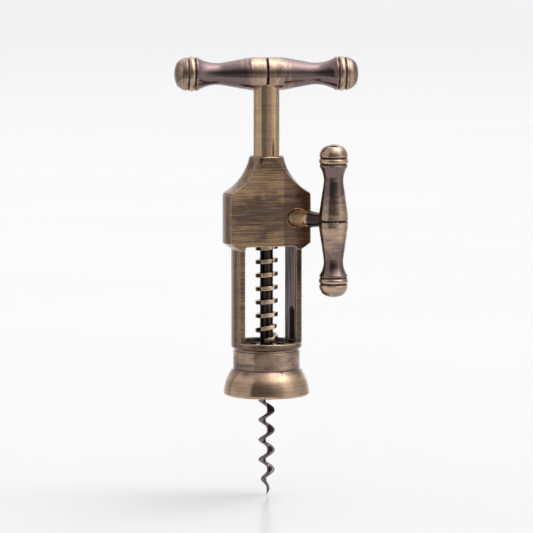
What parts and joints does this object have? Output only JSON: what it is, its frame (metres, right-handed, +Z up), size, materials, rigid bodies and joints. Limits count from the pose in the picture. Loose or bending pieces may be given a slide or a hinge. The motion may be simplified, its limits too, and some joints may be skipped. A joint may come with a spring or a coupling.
{
  "type": "corkscrew",
  "caption": "Rack and pinion bar corkscrew: bell foot, open legs, turning T-handle with worm, and a side crank that lifts it.",
  "frame": {"origin": "centre of the bell's rim plane, on the spindle's axis", "axes": "+Z up along the spindle, from worm to T-handle; the body's ground flat faces -Y; the legs stand at +X and -X; the crank shaft leaves the flat towards +X and -Y"},
  "size_m": [0.0862, 0.0552, 0.2083],
  "materials": {
    "body_bronze": "antique bronze finish, ground flat brushed level, satin",
    "turned_bronze": "antique bronze finish, brushed round, satin",
    "handle_bronze": "antique bronze finish, polished, edges rubbed bright",
    "rack_bronze": "antique bronze finish, rings rubbed bright",
    "shaft_bronze": "antique bronze finish, satin",
    "washer_brass": "turned, dull",
    "spindle_steel": "turned, dull",
    "worm_steel": "dark worn plating",
    "screw_steel": "turned, dull"
  },
  "bodies": {
    "frame": {"frame": "body_bronze", "foot_collar": "turned_bronze", "bell_foot": "turned_bronze"},
    "carriage": {"rack_sleeve": "rack_bronze"},
    "spindle": {"spindle_rod": "spindle_steel", "stem_sleeve": "turned_bronze", "upper_thrust_washer": "washer_brass", "lower_thrust_washer": "washer_brass", "worm_boss": "spindle_steel", "worm_boss_pin": "spindle_steel", "worm": "worm_steel", "t_grip_left": "handle_bronze", "t_grip_right": "handle_bronze", "t_tie_stud": "spindle_steel"},
    "crank": {"crank_shaft": "shaft_bronze", "crank_end_washer": "screw_steel", "crank_end_screw": "screw_steel", "crank_grip_upper": "handle_bronze", "crank_grip_lower": "handle_bronze", "crank_tie_stud": "spindle_steel"}
  },
  "joints": [
    {"name": "crank_turn", "type": "hinge", "parent": "frame", "child": "crank", "pos_m": [0.00649, 0.00375, 0.084], "axis": [-0.5, 0.866, 0], "range_deg": [-309.38, 646.88]},
    {"name": "rack_lift", "type": "slide", "parent": "frame", "child": "carriage", "axis": [0, 0, 1], "range_m": [-0.02201, 0.04601]},
    {"name": "handle_spin", "type": "hinge", "parent": "carriage", "child": "spindle", "pos_m": [0, 0, 0.084], "axis": [0, 0, 1], "continuous": true}
  ],
  "couplings": [
    {"joint": "rack_lift", "follows": "crank_turn", "m_per_rad": 0.0040744}
  ]
}
